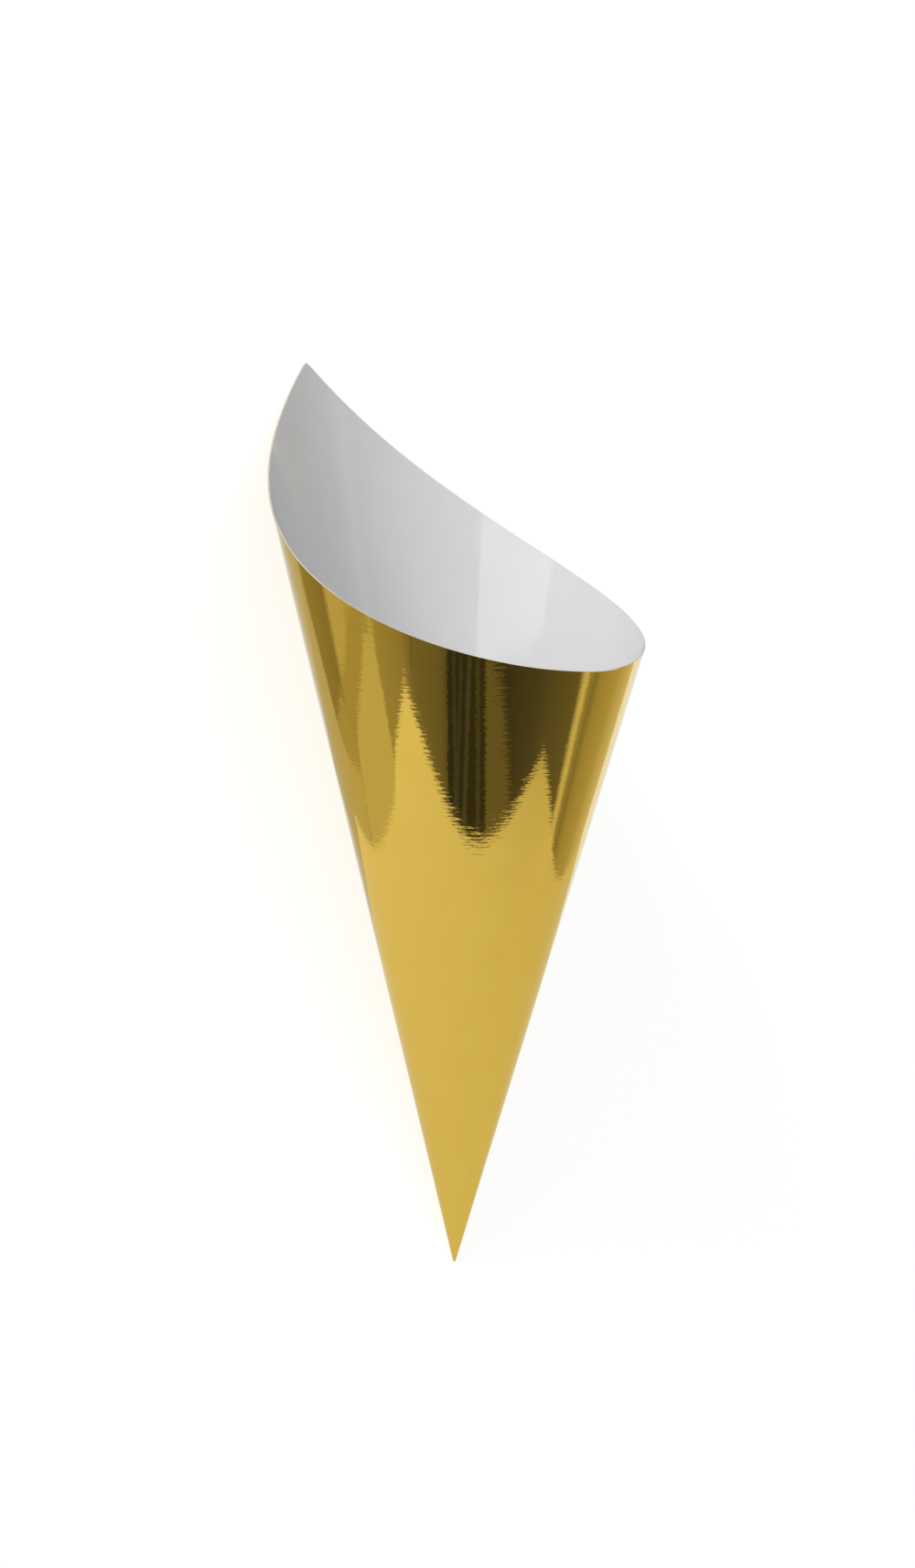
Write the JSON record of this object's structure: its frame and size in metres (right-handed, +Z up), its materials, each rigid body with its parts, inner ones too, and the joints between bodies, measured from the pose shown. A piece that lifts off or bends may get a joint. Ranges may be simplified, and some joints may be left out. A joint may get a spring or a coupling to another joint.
{
  "type": "paper snack cone",
  "caption": "Pointed snack cone rolled from a square of foil-faced card and glued at one lap, with a slanted mouth and a raised peak.",
  "frame": {"origin": "on the ground, in the middle of the base of the bounding box of the cone as it lies on its side", "axes": "+X from the tip to the peak, along the line of the card that the cone lies on; +Z up; +Y to the left when looking along +X; the mouth opens towards +X and upwards, and the lap is on top"},
  "size_m": [0.2106, 0.0802, 0.0714],
  "materials": {
    "foil_card": "gloss"
  },
  "bodies": {
    "root": {"rolled_card": "foil_card"}
  },
  "joints": []
}
